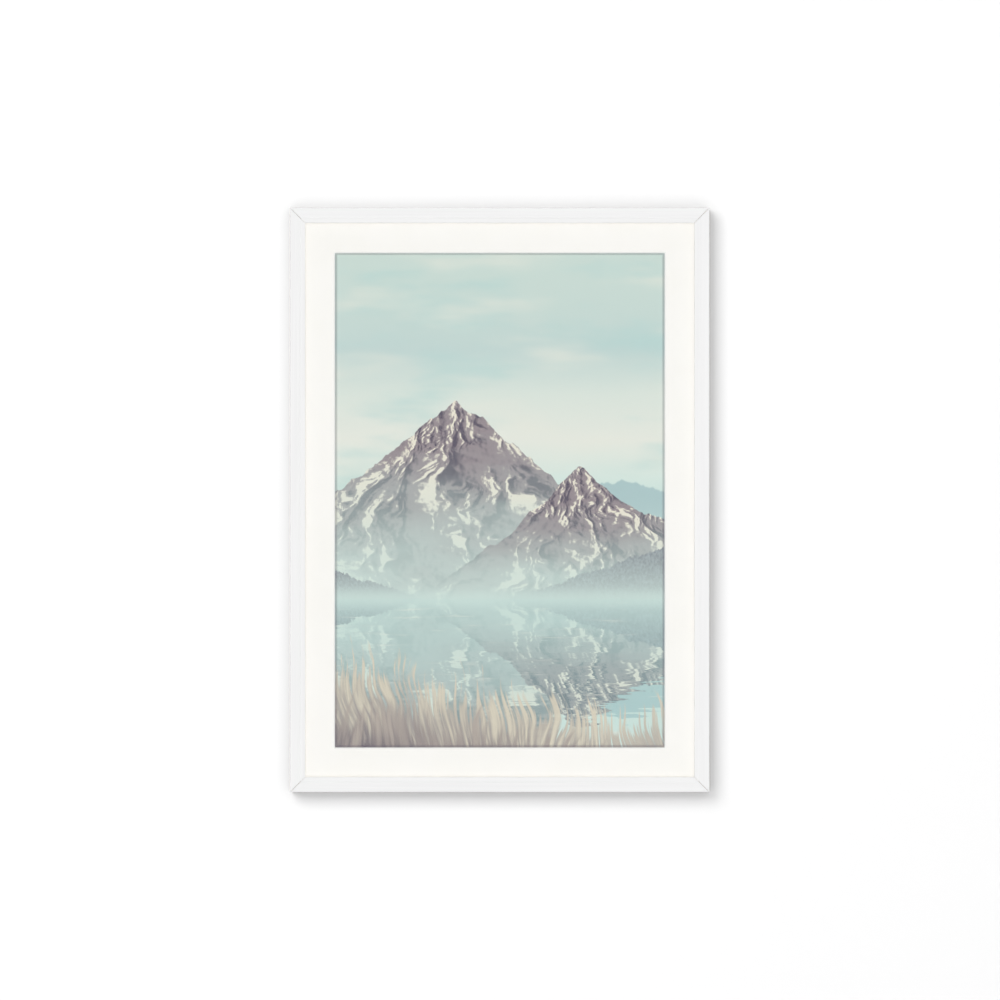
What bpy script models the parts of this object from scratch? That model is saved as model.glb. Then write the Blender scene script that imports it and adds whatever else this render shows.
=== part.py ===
# Framed print for a wall: four mitred white wood mouldings hold a clear sheet, a bevel-cut mat,
# a printed sheet, a mount board and a backing board, all kept in by bendable steel points.
# Metres, +Z up. The picture faces -Y, and the wall it hangs on is the plane y = 0.
# The origin lies on the wall, where a hook sits in the middle notch of the sawtooth hanger.

import math

import bmesh
import bpy
from mathutils import Matrix, Vector

# Driving sizes of what shows from the front
PICTURE_WIDTH = 0.400
PICTURE_HEIGHT = 0.600
MAT_BORDER = 0.036
FACE_WIDTH = 0.018

# The moulding's section
MOULDING_DEPTH = 0.022
LIP_WIDTH = 0.006
LIP_THICKNESS = 0.0055
CROWN_RISE = 0.0004
OUTER_ARRIS_RADIUS = 0.0010
SIGHT_ARRIS_RADIUS = 0.0007
REAR_ARRIS_RADIUS = 0.0004
ARRIS_STEPS = 4
CROWN_STEPS = 8

# Thicknesses of the sheets, front to back
GLAZING_THICKNESS = 0.0020
MAT_THICKNESS = 0.0015
PRINT_THICKNESS = 0.0003
MOUNT_THICKNESS = 0.0015
BACKING_THICKNESS = 0.0030
PRINT_OVERLAP = 0.006

# Room between pieces that touch, and the sheets' play in the rebate
GAP = 0.0003
SHEET_PLAY = 0.0014
CUTTER_REACH = 0.005

# Bendable points
POINT_WIDTH = 0.010
POINT_REACH = 0.011
POINT_BITE = 0.005
POINT_THICKNESS = 0.0005
POINT_CORNER_RADIUS = 0.0025
POINT_TAPER = 0.0015
POINTS_ON_STILE = 5
POINTS_ON_RAIL = 4

# V-shaped nails that pull each mitre together
V_LEG = 0.0045
V_THICKNESS = 0.0006
V_HEIGHT = 0.007
V_APEX_INSET = 0.008

# Sawtooth hanger and its two nails
HANGER_LENGTH = 0.048
HANGER_WIDTH = 0.009
HANGER_THICKNESS = 0.0008
HANGER_RISE = 0.0017
HANGER_END_LENGTH = 0.0075
HANGER_RAMP = 0.002
TOOTH_PITCH = 0.0026
TOOTH_DEPTH = 0.0016
TOOTH_COUNT = 9
HANGER_BELOW_TOP = 0.0016
NAIL_SHANK_RADIUS = 0.0007
NAIL_HEAD_RADIUS = 0.0019
NAIL_HEAD_HEIGHT = 0.0007
NAIL_LENGTH = 0.010
NAIL_TIP_LENGTH = 0.0015

# Bumpers that keep the bottom edge off the wall
BUMPER_RADIUS = 0.005
BUMPER_FACE_RADIUS = 0.0036
BUMPER_CORNER_INSET = 0.030
ROUND_STEPS = 24
NAIL_STEPS = 12

# Mesh making
WELD_DISTANCE = 0.000001
TURN_MERGE = 0.00001
SMOOTH_ANGLE = math.radians(30)

# Worked out from the sizes above
OUTER_WIDTH = PICTURE_WIDTH + 2 * (MAT_BORDER + FACE_WIDTH)
OUTER_HEIGHT = PICTURE_HEIGHT + 2 * (MAT_BORDER + FACE_WIDTH)
REAR_WIDTH = FACE_WIDTH - LIP_WIDTH
REBATE_DEPTH = MOULDING_DEPTH - LIP_THICKNESS
REBATE_WIDTH = OUTER_WIDTH - 2 * REAR_WIDTH
REBATE_HEIGHT = OUTER_HEIGHT - 2 * REAR_WIDTH
SHEET_WIDTH = REBATE_WIDTH - SHEET_PLAY
SHEET_HEIGHT = REBATE_HEIGHT - SHEET_PLAY
SHEET_DROP = SHEET_PLAY / 2 - GAP
STANDOFF = GAP + HANGER_RISE + HANGER_THICKNESS
REAR_Y = -STANDOFF
SHELF_Y = REAR_Y - REBATE_DEPTH
TOP_Z = HANGER_BELOW_TOP + HANGER_WIDTH - TOOTH_DEPTH
CENTRE_Z = TOP_Z - OUTER_HEIGHT / 2

PAINT = ("white_paint", (0.905, 0.905, 0.905), 0.38, 0.0)
GLASS = ("clear_sheet", (0.98, 0.99, 0.985), 0.04, 0.0)
MAT_CARD = ("mat_card", (0.955, 0.945, 0.915), 0.85, 0.0)
PRINT_PAPER = ("print_paper", (0.60, 0.72, 0.69), 0.6, 0.0)
MOUNT_CARD = ("mount_card", (0.90, 0.89, 0.86), 0.9, 0.0)
FIBREBOARD = ("fibreboard", (0.36, 0.22, 0.12), 0.75, 0.0)
PLATED_STEEL = ("plated_steel", (0.62, 0.61, 0.58), 0.35, 1.0)
BRASSED_STEEL = ("brassed_steel", (0.72, 0.56, 0.28), 0.35, 1.0)
CLEAR_RUBBER = ("bumper_rubber", (0.78, 0.78, 0.76), 0.5, 0.0)


def clear_scene():
    for thing in list(bpy.data.objects):
        bpy.data.objects.remove(thing, do_unlink=True)


def new_collection(name):
    collection = bpy.data.collections.new(name)
    bpy.context.scene.collection.children.link(collection)
    return collection


def material_for(finish):
    name, colour, roughness, metallic = finish
    material = bpy.data.materials.get(name)
    if material:
        return material
    material = bpy.data.materials.new(name)
    material.use_nodes = True
    shader = material.node_tree.nodes["Principled BSDF"]
    shader.inputs["Base Color"].default_value = (*colour, 1.0)
    shader.inputs["Roughness"].default_value = roughness
    shader.inputs["Metallic"].default_value = metallic
    return material


def place(name, mesh, collection, location=(0, 0, 0), matrix=None):
    """Links a new object, in the frame of the moulding's centre."""
    thing = bpy.data.objects.new(name, mesh)
    collection.objects.link(thing)
    thing.parent = centre
    thing.matrix_basis = Matrix.Translation(location) @ (matrix or Matrix.Identity(4))
    return thing


def finish_piece(thing, finish):
    thing.data.materials.clear()
    thing.data.materials.append(material_for(finish))
    thing.data.shade_smooth()
    thing.data.set_sharp_from_angle(angle=SMOOTH_ANGLE)
    return thing


def hide_cutter(thing):
    thing.hide_render = True
    thing.display_type = "WIRE"
    return thing


def outline_mesh(name, points, depth):
    """A flat closed outline in XY, filled and extruded to this depth along Z, as a mesh."""
    curve = bpy.data.curves.new(name, "CURVE")
    curve.dimensions = "2D"
    curve.fill_mode = "BOTH"
    curve.extrude = depth / 2
    spline = curve.splines.new("POLY")
    spline.points.add(len(points) - 1)
    for spot, (x, y) in zip(spline.points, points):
        spot.co = (x, y, 0, 1)
    spline.use_cyclic_u = True
    guide = bpy.data.objects.new(name, curve)
    cutters.objects.link(guide)
    graph = bpy.context.evaluated_depsgraph_get()
    mesh = bpy.data.meshes.new_from_object(guide.evaluated_get(graph))
    bpy.data.objects.remove(guide, do_unlink=True)
    shape = bmesh.new()
    shape.from_mesh(mesh)
    bmesh.ops.remove_doubles(shape, verts=shape.verts, dist=WELD_DISTANCE)
    bmesh.ops.recalc_face_normals(shape, faces=shape.faces)
    shape.to_mesh(mesh)
    shape.free()
    return mesh


def box_mesh(name, size, far_growth=0.0):
    """A box; far_growth widens its -Y end by that much on each side, as a bevel cut does."""
    shape = bmesh.new()
    bmesh.ops.create_cube(shape, size=1.0)
    for corner in shape.verts:
        grown = far_growth if corner.co.y < 0 else 0.0
        corner.co.x *= size[0] + 2 * grown
        corner.co.y *= size[1]
        corner.co.z *= size[2] + 2 * grown
    mesh = bpy.data.meshes.new(name)
    shape.to_mesh(mesh)
    shape.free()
    return mesh


def arc(middle, radius, start, end, steps):
    """Points on a round stretch, both ends included, angles in degrees."""
    turns = [math.radians(start + (end - start) * step / steps) for step in range(steps + 1)]
    return [(middle[0] + radius * math.cos(t), middle[1] + radius * math.sin(t)) for t in turns]


def cut(thing, cutter, operation="DIFFERENCE"):
    boolean = thing.modifiers.new(cutter.name, "BOOLEAN")
    boolean.operation = operation
    boolean.object = cutter
    return boolean


def turned(name, profile, steps):
    """A round piece about its own Z axis, from its profile (radius, height), top to bottom."""
    mesh = bpy.data.meshes.new(name)
    points = [(radius, 0, height) for radius, height in profile]
    mesh.from_pydata(points, [(i, i + 1) for i in range(len(points) - 1)], [])
    thing = place(name, mesh, parts)
    screw = thing.modifiers.new("turn", "SCREW")
    screw.axis = "Z"
    screw.steps = steps
    screw.render_steps = steps
    screw.use_merge_vertices = True
    screw.merge_threshold = TURN_MERGE
    return thing


def moulding_section():
    """Across the stick: x runs inwards from the outer edge, y from the rear face to the front."""
    shoulder = MOULDING_DEPTH - CROWN_RISE
    half = FACE_WIDTH / 2
    crown_radius = (half**2 + CROWN_RISE**2) / (2 * CROWN_RISE)
    crown_edge = math.degrees(math.asin((half - OUTER_ARRIS_RADIUS) / crown_radius))
    outer, sight, rear = OUTER_ARRIS_RADIUS, SIGHT_ARRIS_RADIUS, REAR_ARRIS_RADIUS
    points = [(REAR_WIDTH, 0), (REAR_WIDTH, REBATE_DEPTH), (FACE_WIDTH, REBATE_DEPTH)]
    points += arc((FACE_WIDTH - sight, shoulder - sight), sight, 0, 90, ARRIS_STEPS)
    crown = (half, MOULDING_DEPTH - crown_radius)
    points += arc(crown, crown_radius, 90 - crown_edge, 90 + crown_edge, CROWN_STEPS)
    points += arc((outer, shoulder - outer), outer, 90, 180, ARRIS_STEPS)
    points += arc((rear, rear), rear, 180, 270, ARRIS_STEPS)
    return points


def side_turn(quarter):
    """Turns a piece made for the bottom side round to one of the four sides."""
    return Matrix.Rotation(math.radians(90 * quarter), 4, "Y")


def side_sizes(quarter):
    """(length of this side, distance of its outer edge from the centre)."""
    if quarter % 2:
        return OUTER_HEIGHT, OUTER_WIDTH / 2
    return OUTER_WIDTH, OUTER_HEIGHT / 2


def make_stick(name, quarter):
    """One moulding, mitred at both ends so that the joints stay a hair open."""
    length, edge = side_sizes(quarter)
    mesh = outline_mesh(name, moulding_section(), length + 2 * CUTTER_REACH)
    lay_along_x = Matrix(((0, 0, 1, 0), (0, -1, 0, 0), (1, 0, 0, 0), (0, 0, 0, 1)))
    mesh.transform(Matrix.Translation((0, REAR_Y, -edge)) @ lay_along_x)
    mesh.transform(side_turn(quarter))
    stick = place(name, mesh, parts)

    slant = GAP / 2 * math.sqrt(2)
    reach = CUTTER_REACH
    low = length / 2 + reach - slant
    high = length / 2 - FACE_WIDTH - reach - slant
    outline = [(-low, -edge - reach), (low, -edge - reach)]
    outline += [(high, -edge + FACE_WIDTH + reach), (-high, -edge + FACE_WIDTH + reach)]
    block_mesh = outline_mesh(f"{name}_mitre_block", outline, 2 * (MOULDING_DEPTH + STANDOFF + reach))
    stand_up = Matrix.Rotation(math.radians(90), 4, "X")
    block_mesh.transform(side_turn(quarter) @ stand_up)
    block = hide_cutter(place(f"{name}_mitre_block", block_mesh, cutters))
    cut(stick, block, "INTERSECT")
    return finish_piece(stick, PAINT)


def point_outline(grow):
    """A point seen from behind: x across it, y from the bitten end to the free end."""
    half = POINT_WIDTH / 2 + grow
    bitten = -POINT_BITE - grow
    free = POINT_REACH + grow
    radius = POINT_CORNER_RADIUS
    outline = [(-half + POINT_TAPER, bitten), (half - POINT_TAPER, bitten)]
    outline += [(half, bitten + POINT_TAPER)]
    outline += arc((half - radius, free - radius), radius, 0, 90, ARRIS_STEPS)
    outline += arc((-half + radius, free - radius), radius, 90, 180, ARRIS_STEPS)
    outline += [(-half, bitten + POINT_TAPER)]
    return outline


def make_points(stick, quarter, side_name, count):
    """Steel strips driven into the rebate wall, lying on the back of the backing board."""
    length, edge = side_sizes(quarter)
    rebate_length = length - 2 * REAR_WIDTH
    point_y = SHELF_Y + pack_depth + GAP + POINT_THICKNESS / 2
    stand_up = Matrix(((1, 0, 0, 0), (0, 0, 1, 0), (0, 1, 0, 0), (0, 0, 0, 1)))
    for i in range(count):
        along = rebate_length * ((i + 0.5) / count - 0.5)
        spot = side_turn(quarter) @ Vector((along, 0, -edge + REAR_WIDTH))
        turn = side_turn(quarter) @ stand_up
        location = (spot.x, point_y, spot.z)
        name = f"point_{side_name}_{i + 1}"
        mesh = outline_mesh(name, point_outline(0), POINT_THICKNESS)
        point = place(name, mesh, parts, location, turn)
        turn_faces_out(point)
        finish_piece(point, PLATED_STEEL)
        slot_mesh = outline_mesh(f"{name}_slot", point_outline(GAP), POINT_THICKNESS + 2 * GAP)
        slot = place(f"{name}_slot", slot_mesh, cutters, location, turn)
        turn_faces_out(slot)
        cut(stick, hide_cutter(slot))


def turn_faces_out(thing):
    """Bakes the object's own turn into its mesh and points its faces outwards."""
    turn = thing.matrix_basis.to_3x3().to_4x4()
    thing.data.transform(turn)
    thing.matrix_basis = Matrix.Translation(thing.matrix_basis.translation)
    shape = bmesh.new()
    shape.from_mesh(thing.data)
    bmesh.ops.recalc_face_normals(shape, faces=shape.faces)
    shape.to_mesh(thing.data)
    shape.free()


def v_outline(grow):
    """A right-angled V with its apex at the origin, its legs along -X and +Y."""
    half = V_THICKNESS / 2 + grow
    tip = V_LEG + grow
    return [(half, -half), (half, tip), (-half, tip), (-half, half), (-tip, half), (-tip, -half)]


def make_v_nail(name, side_x, side_z, sticks):
    """One V-nail across a mitre, flush with the rear face."""
    apex_x = side_x * (OUTER_WIDTH / 2 - V_APEX_INSET)
    apex_z = side_z * (OUTER_HEIGHT / 2 - V_APEX_INSET)
    stand_up = Matrix(((-side_x, 0, 0, 0), (0, 0, 1, 0), (0, side_z, 0, 0), (0, 0, 0, 1)))
    nail_mesh = outline_mesh(name, v_outline(0), V_HEIGHT)
    nail = place(name, nail_mesh, parts, (apex_x, REAR_Y - GAP - V_HEIGHT / 2, apex_z), stand_up)
    turn_faces_out(nail)
    finish_piece(nail, PLATED_STEEL)
    slot_height = V_HEIGHT + 2 * GAP + CUTTER_REACH
    slot_y = REAR_Y + CUTTER_REACH - slot_height / 2
    slot_mesh = outline_mesh(f"{name}_slot", v_outline(GAP), slot_height)
    slot = place(f"{name}_slot", slot_mesh, cutters, (apex_x, slot_y, apex_z), stand_up)
    turn_faces_out(slot)
    hide_cutter(slot)
    for stick in sticks:
        cut(stick, slot)


def make_sheet(name, thickness, front, finish, width=SHEET_WIDTH, height=SHEET_HEIGHT):
    """A flat sheet in the rebate, its front face this far behind the shelf."""
    mesh = box_mesh(name, (width, thickness, height))
    location = (0, SHELF_Y + front + thickness / 2, -SHEET_DROP)
    return finish_piece(place(name, mesh, parts, location), finish)


def cut_mat_window(mat):
    """A window cut at 45 degrees, widest at the mat's face, whose rear edge frames the picture."""
    reach = CUTTER_REACH
    depth = MAT_THICKNESS + 2 * reach
    size = (PICTURE_WIDTH - 2 * reach, depth, PICTURE_HEIGHT - 2 * reach)
    mesh = box_mesh("mat_window", size, far_growth=depth)
    window = place("mat_window", mesh, cutters, mat.location)
    cut(mat, hide_cutter(window))


def hanger_outline():
    """The hanger from above: flat ends on the wood, the middle raised to let a hook head in."""
    half = HANGER_LENGTH / 2
    foot = half - HANGER_END_LENGTH
    raised = foot - HANGER_RAMP
    low = [(-half, 0), (-foot, 0), (-raised, HANGER_RISE)]
    low += [(raised, HANGER_RISE), (foot, 0), (half, 0)]
    return low + [(x, y + HANGER_THICKNESS) for x, y in reversed(low)]


def teeth_outline():
    """A row of notches, the middle one's root at the origin, open below."""
    half = TOOTH_COUNT * TOOTH_PITCH / 2
    below = -TOOTH_DEPTH - CUTTER_REACH
    points = [(-half, below), (half, below), (half, -TOOTH_DEPTH)]
    for i in range(TOOTH_COUNT):
        right = half - i * TOOTH_PITCH
        points += [(right - TOOTH_PITCH / 2, 0), (right - TOOTH_PITCH, -TOOTH_DEPTH)]
    return points


def make_hanger(top_rail):
    lower_edge = -TOOTH_DEPTH
    mesh = outline_mesh("sawtooth_hanger", hanger_outline(), HANGER_WIDTH)
    middle = (0, REAR_Y + GAP, lower_edge + HANGER_WIDTH / 2 - CENTRE_Z)
    hanger = place("sawtooth_hanger", mesh, parts, middle)
    finish_piece(hanger, BRASSED_STEEL)
    stand_up = Matrix.Rotation(math.radians(90), 4, "X")
    teeth_mesh = outline_mesh("hanger_teeth", teeth_outline(), 2 * STANDOFF)
    teeth_mesh.transform(stand_up)
    teeth = place("hanger_teeth", teeth_mesh, cutters, (0, REAR_Y + STANDOFF, -CENTRE_Z))
    cut(hanger, hide_cutter(teeth))
    for side, name in ((-1, "left"), (1, "right")):
        spot_x = side * (HANGER_LENGTH - HANGER_END_LENGTH) / 2
        make_hanger_nail(name, spot_x, middle[2], hanger, top_rail)


def make_hanger_nail(side_name, spot_x, spot_z, hanger, top_rail):
    """A round-head nail through one end of the hanger into the top rail."""
    name = f"hanger_nail_{side_name}"
    head, shank, radius = NAIL_HEAD_HEIGHT, NAIL_SHANK_RADIUS, NAIL_HEAD_RADIUS
    dome = [(radius * across, head * up) for across, up in arc((0, 0), 1, 90, 0, ARRIS_STEPS)]
    profile = dome + [(shank, 0), (shank, -NAIL_LENGTH + NAIL_TIP_LENGTH), (0, -NAIL_LENGTH)]
    nail = turned(name, profile, NAIL_STEPS)
    point_to_wall = Matrix.Rotation(math.radians(-90), 4, "X")
    seat_y = REAR_Y + 2 * GAP + HANGER_THICKNESS
    nail.matrix_basis = Matrix.Translation((spot_x, seat_y, spot_z)) @ point_to_wall
    finish_piece(nail, BRASSED_STEEL)
    hole_mesh = bpy.data.meshes.new(f"{name}_hole")
    shape = bmesh.new()
    hole_length = NAIL_LENGTH + 2 * GAP + CUTTER_REACH
    bmesh.ops.create_cone(
        shape,
        cap_ends=True,
        segments=NAIL_STEPS,
        radius1=shank + GAP,
        radius2=shank + GAP,
        depth=hole_length,
    )
    shape.to_mesh(hole_mesh)
    shape.free()
    hole = place(
        f"{name}_hole",
        hole_mesh,
        cutters,
        (spot_x, seat_y + CUTTER_REACH - hole_length / 2, spot_z),
        point_to_wall,
    )
    hide_cutter(hole)
    cut(hanger, hole)
    cut(top_rail, hole)


def make_bumper(side_name, side_x):
    """A soft button on the rear of the bottom rail, as thick as the hanger stands proud."""
    height = STANDOFF - GAP
    rounding = BUMPER_RADIUS - BUMPER_FACE_RADIUS
    shoulder = arc((BUMPER_FACE_RADIUS, height - rounding), rounding, 90, 0, ARRIS_STEPS)
    profile = [(0, height)] + shoulder + [(BUMPER_RADIUS, 0), (0, 0)]
    bumper = turned(f"bumper_{side_name}", profile, ROUND_STEPS)
    spot_x = side_x * (OUTER_WIDTH / 2 - BUMPER_CORNER_INSET)
    spot_z = -OUTER_HEIGHT / 2 + REAR_WIDTH / 2
    point_to_wall = Matrix.Rotation(math.radians(-90), 4, "X")
    bumper.matrix_basis = Matrix.Translation((spot_x, REAR_Y + GAP, spot_z)) @ point_to_wall
    return finish_piece(bumper, CLEAR_RUBBER)


clear_scene()
parts = new_collection("framed_print")
cutters = new_collection("cutters")
cutters.hide_render = True
centre = bpy.data.objects.new("moulding_centre", None)
parts.objects.link(centre)
centre.location = (0, 0, CENTRE_Z)
bpy.context.view_layer.update()

rail_bottom = make_stick("rail_bottom", 0)
stile_left = make_stick("stile_left", 1)
rail_top = make_stick("rail_top", 2)
stile_right = make_stick("stile_right", 3)

sheets = (
    ("glazing", GLAZING_THICKNESS, GLASS),
    ("mat", MAT_THICKNESS, MAT_CARD),
    ("print_sheet", PRINT_THICKNESS, PRINT_PAPER),
    ("mount_board", MOUNT_THICKNESS, MOUNT_CARD),
    ("backing_board", BACKING_THICKNESS, FIBREBOARD),
)
pack_depth = 0.0
for sheet_name, thickness, finish in sheets:
    pack_depth += GAP
    if sheet_name == "print_sheet":
        print_size = (PICTURE_WIDTH + 2 * PRINT_OVERLAP, PICTURE_HEIGHT + 2 * PRINT_OVERLAP)
        make_sheet(sheet_name, thickness, pack_depth, finish, *print_size)
    else:
        sheet = make_sheet(sheet_name, thickness, pack_depth, finish)
    if sheet_name == "mat":
        cut_mat_window(sheet)
    pack_depth += thickness

make_points(rail_bottom, 0, "bottom", POINTS_ON_RAIL)
make_points(stile_left, 1, "left", POINTS_ON_STILE)
make_points(rail_top, 2, "top", POINTS_ON_RAIL)
make_points(stile_right, 3, "right", POINTS_ON_STILE)

make_v_nail("v_nail_bottom_left", -1, -1, (rail_bottom, stile_left))
make_v_nail("v_nail_top_left", -1, 1, (rail_top, stile_left))
make_v_nail("v_nail_top_right", 1, 1, (rail_top, stile_right))
make_v_nail("v_nail_bottom_right", 1, -1, (rail_bottom, stile_right))

make_hanger(rail_top)
make_bumper("left", -1)
make_bumper("right", 1)
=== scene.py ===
# Looks for a framed picture: white mitred frame, bevel-cut mat, printed sheet and everything behind them.
# Metres, z up. The picture faces -y, and the wall it hangs on is the plane y = 0.

import math

import bmesh
import bpy
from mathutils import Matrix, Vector


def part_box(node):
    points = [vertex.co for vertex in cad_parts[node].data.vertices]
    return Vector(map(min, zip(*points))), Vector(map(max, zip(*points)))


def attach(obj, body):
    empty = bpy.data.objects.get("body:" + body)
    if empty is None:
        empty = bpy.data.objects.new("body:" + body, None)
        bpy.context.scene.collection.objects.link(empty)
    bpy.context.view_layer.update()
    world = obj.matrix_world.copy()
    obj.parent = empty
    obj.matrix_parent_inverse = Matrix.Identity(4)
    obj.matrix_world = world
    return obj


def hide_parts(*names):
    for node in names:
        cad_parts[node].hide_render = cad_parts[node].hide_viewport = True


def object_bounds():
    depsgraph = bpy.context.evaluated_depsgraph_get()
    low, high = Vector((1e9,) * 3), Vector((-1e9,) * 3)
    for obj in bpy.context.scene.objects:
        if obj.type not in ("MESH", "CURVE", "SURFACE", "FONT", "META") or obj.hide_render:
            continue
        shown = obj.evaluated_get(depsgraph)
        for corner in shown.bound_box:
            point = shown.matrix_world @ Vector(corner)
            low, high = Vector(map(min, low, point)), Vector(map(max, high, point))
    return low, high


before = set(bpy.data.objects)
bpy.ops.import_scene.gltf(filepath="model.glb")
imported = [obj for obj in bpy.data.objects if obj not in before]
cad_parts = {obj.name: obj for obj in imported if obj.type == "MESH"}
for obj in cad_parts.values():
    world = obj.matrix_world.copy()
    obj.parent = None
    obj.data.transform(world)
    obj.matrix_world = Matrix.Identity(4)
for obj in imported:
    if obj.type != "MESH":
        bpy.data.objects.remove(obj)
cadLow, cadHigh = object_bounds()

middle = (cadLow + cadHigh) / 2  # centre of the whole frame
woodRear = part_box("rail_bottom")[1].y  # rear face of the moulding
print("packed frame loaded,", len(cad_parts), "solids")


# Small helpers for editing meshes as by hand

def near(first, second, slack=0.00002):
    return abs(first - second) < slack


def selectOnly(thing):
    if bpy.context.mode != "OBJECT":
        bpy.ops.object.mode_set(mode="OBJECT")
    bpy.ops.object.select_all(action="DESELECT")
    thing.select_set(True)
    bpy.context.view_layer.objects.active = thing


def startEdit(thing):
    selectOnly(thing)
    bpy.ops.object.mode_set(mode="EDIT")


def endEdit():
    bpy.ops.object.mode_set(mode="OBJECT")


def nameAndPlace(name):
    thing = bpy.context.object
    thing.name = name
    bpy.ops.object.transform_apply(location=True, rotation=True, scale=True)
    return thing


def addBlock(name, low, high):
    low, high = Vector(low), Vector(high)
    bpy.ops.mesh.primitive_cube_add(size=1, location=(low + high) / 2, scale=high - low)
    return nameAndPlace(name)


def addRound(name, radius, depth, place, sides):
    # a short cylinder whose axis points at the wall
    bpy.ops.mesh.primitive_cylinder_add(
        vertices=sides, radius=radius, depth=depth, location=place, rotation=(math.radians(90), 0, 0))
    return nameAndPlace(name)


def pick(thing, kind, wanted):
    # selects the vertices, edges or faces that pass a test of their place and direction
    bpy.ops.mesh.select_mode(type=kind)
    bpy.ops.mesh.select_all(action="DESELECT")
    shape = bmesh.from_edit_mesh(thing.data)
    shape.normal_update()
    if kind == "VERT":
        for corner in shape.verts:
            corner.select_set(wanted(corner.co, corner.normal))
    if kind == "EDGE":
        for edge in shape.edges:
            start, end = (corner.co for corner in edge.verts)
            edge.select_set(wanted((start + end) / 2, end - start))
    if kind == "FACE":
        for face in shape.faces:
            face.select_set(wanted(face.calc_center_median(), face.normal))
    shape.select_flush_mode()
    bmesh.update_edit_mesh(thing.data)


def slicePiece(place, direction, **options):
    bpy.ops.mesh.select_all(action="SELECT")
    bpy.ops.mesh.bisect(plane_co=place, plane_no=direction, **options)


def slide(*step):
    bpy.ops.transform.translate(value=step)


def pull(*step):
    bpy.ops.mesh.extrude_region_move(TRANSFORM_OT_translate={"value": step})


def roundOff(radius, segments):
    bpy.ops.mesh.bevel(offset=radius, segments=segments, affect="EDGES")


def copyOf(thing, name):
    selectOnly(thing)
    bpy.ops.object.duplicate(linked=False)
    bpy.context.object.name = name
    return bpy.context.object


def turnPiece(thing, quarters, about):
    # quarter turns in the picture's plane, clockwise as seen from the front
    startEdit(thing)
    bpy.ops.mesh.select_all(action="SELECT")
    bpy.ops.transform.rotate(
        value=math.radians(-90) * quarters, orient_axis="Y", orient_type="GLOBAL", center_override=about)
    endEdit()


def applyAll(thing):
    selectOnly(thing)
    for modifier in list(thing.modifiers):
        bpy.ops.object.modifier_apply(modifier=modifier.name)


def softenEdges(thing, width, segments, angle=40):
    bevel = thing.modifiers.new("softEdges", "BEVEL")
    bevel.width = width
    bevel.segments = segments
    bevel.limit_method = "ANGLE"
    bevel.angle_limit = math.radians(angle)
    bevel.use_clamp_overlap = True
    applyAll(thing)


def addWaves(thing, height, size):
    cloud = bpy.data.textures.new(thing.name + "Waves", "CLOUDS")
    cloud.noise_scale = size
    waves = thing.modifiers.new("waves", "DISPLACE")
    waves.texture = cloud
    waves.texture_coords = "LOCAL"
    waves.strength = height
    waves.mid_level = 0.5
    applyAll(thing)


def finishPiece(thing, cadNodes, angle=30):
    selectOnly(thing)
    bpy.ops.object.shade_smooth_by_angle(angle=math.radians(angle))
    evenShading = thing.modifiers.new("evenShading", "WEIGHTED_NORMAL")  # broad flat faces shade flat
    evenShading.keep_sharp = True
    applyAll(thing)
    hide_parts(*cadNodes)
    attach(thing, "root")


def dress(thing, *materials):
    thing.data.materials.clear()
    for material in materials:
        thing.data.materials.append(material)


def coverFaces(thing, wanted):
    # the faces that pass the test take the second material
    pick(thing, "FACE", wanted)
    thing.active_material_index = 1
    bpy.ops.object.material_slot_assign()


def roundedSheet(name, room, radius):
    # a flat sheet that fills this room, with all its edges rounded
    sheet = addBlock(name, *room)
    startEdit(sheet)
    bpy.ops.mesh.select_all(action="SELECT")
    roundOff(radius, 3)
    endEdit()
    return sheet


# Small helpers for building materials

def screenColour(red, green, blue):
    # screen values, 0 to 255, as the linear values that shaders take
    def linear(value):
        value /= 255
        return value / 12.92 if value <= 0.04045 else ((value + 0.055) / 1.055) ** 2.4
    return (linear(red), linear(green), linear(blue), 1)


def setSocket(tree, socket, value):
    if isinstance(value, bpy.types.NodeSocket):
        tree.links.new(value, socket)
    else:
        socket.default_value = value


def newMaterial(name):
    material = bpy.data.materials.new(name)
    material.use_nodes = True
    material.node_tree.nodes.clear()
    return material, material.node_tree


def addNode(tree, kind, inputs, **settings):
    node = tree.nodes.new("ShaderNode" + kind)
    for name, value in settings.items():
        setattr(node, name, value)
    for name, value in inputs.items():
        setSocket(tree, node.inputs[name], value)
    return node


def sums(tree, operation, *values, clamp=False):
    node = tree.nodes.new("ShaderNodeMath")
    node.operation = operation
    node.use_clamp = clamp
    for socket, value in zip(node.inputs, values):
        setSocket(tree, socket, value)
    return node.outputs[0]


def plus(tree, value, amount):
    return sums(tree, "ADD", value, amount)


def minus(tree, value, amount):
    return sums(tree, "SUBTRACT", value, amount)


def times(tree, value, factor):
    return sums(tree, "MULTIPLY", value, factor)


def swing(tree, pattern, height):
    # a pattern between 0 and 1, centred on nought and scaled
    return times(tree, minus(tree, pattern, 0.5), height)


def shareOf(tree, first, second, share):
    # two patterns added up, the first with this share and the second with the rest
    return plus(tree, times(tree, first, share), times(tree, second, 1 - share))


def objectPlace(tree):
    return addNode(tree, "TexCoord", {}).outputs["Object"]


def fromCentre(tree, place):
    # how far a point lies from the picture's centre, to the side and up or down
    parts = addNode(tree, "SeparateXYZ", {"Vector": place}).outputs
    return sums(tree, "ABSOLUTE", parts["X"]), sums(tree, "ABSOLUTE", minus(tree, parts["Z"], middle.z))


def stretched(tree, place, scale, turn=(0, 0, 0), shift=(0, 0, 0)):
    inputs = {"Vector": place, "Scale": scale, "Rotation": turn, "Location": shift}
    return addNode(tree, "Mapping", inputs).outputs[0]


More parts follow.
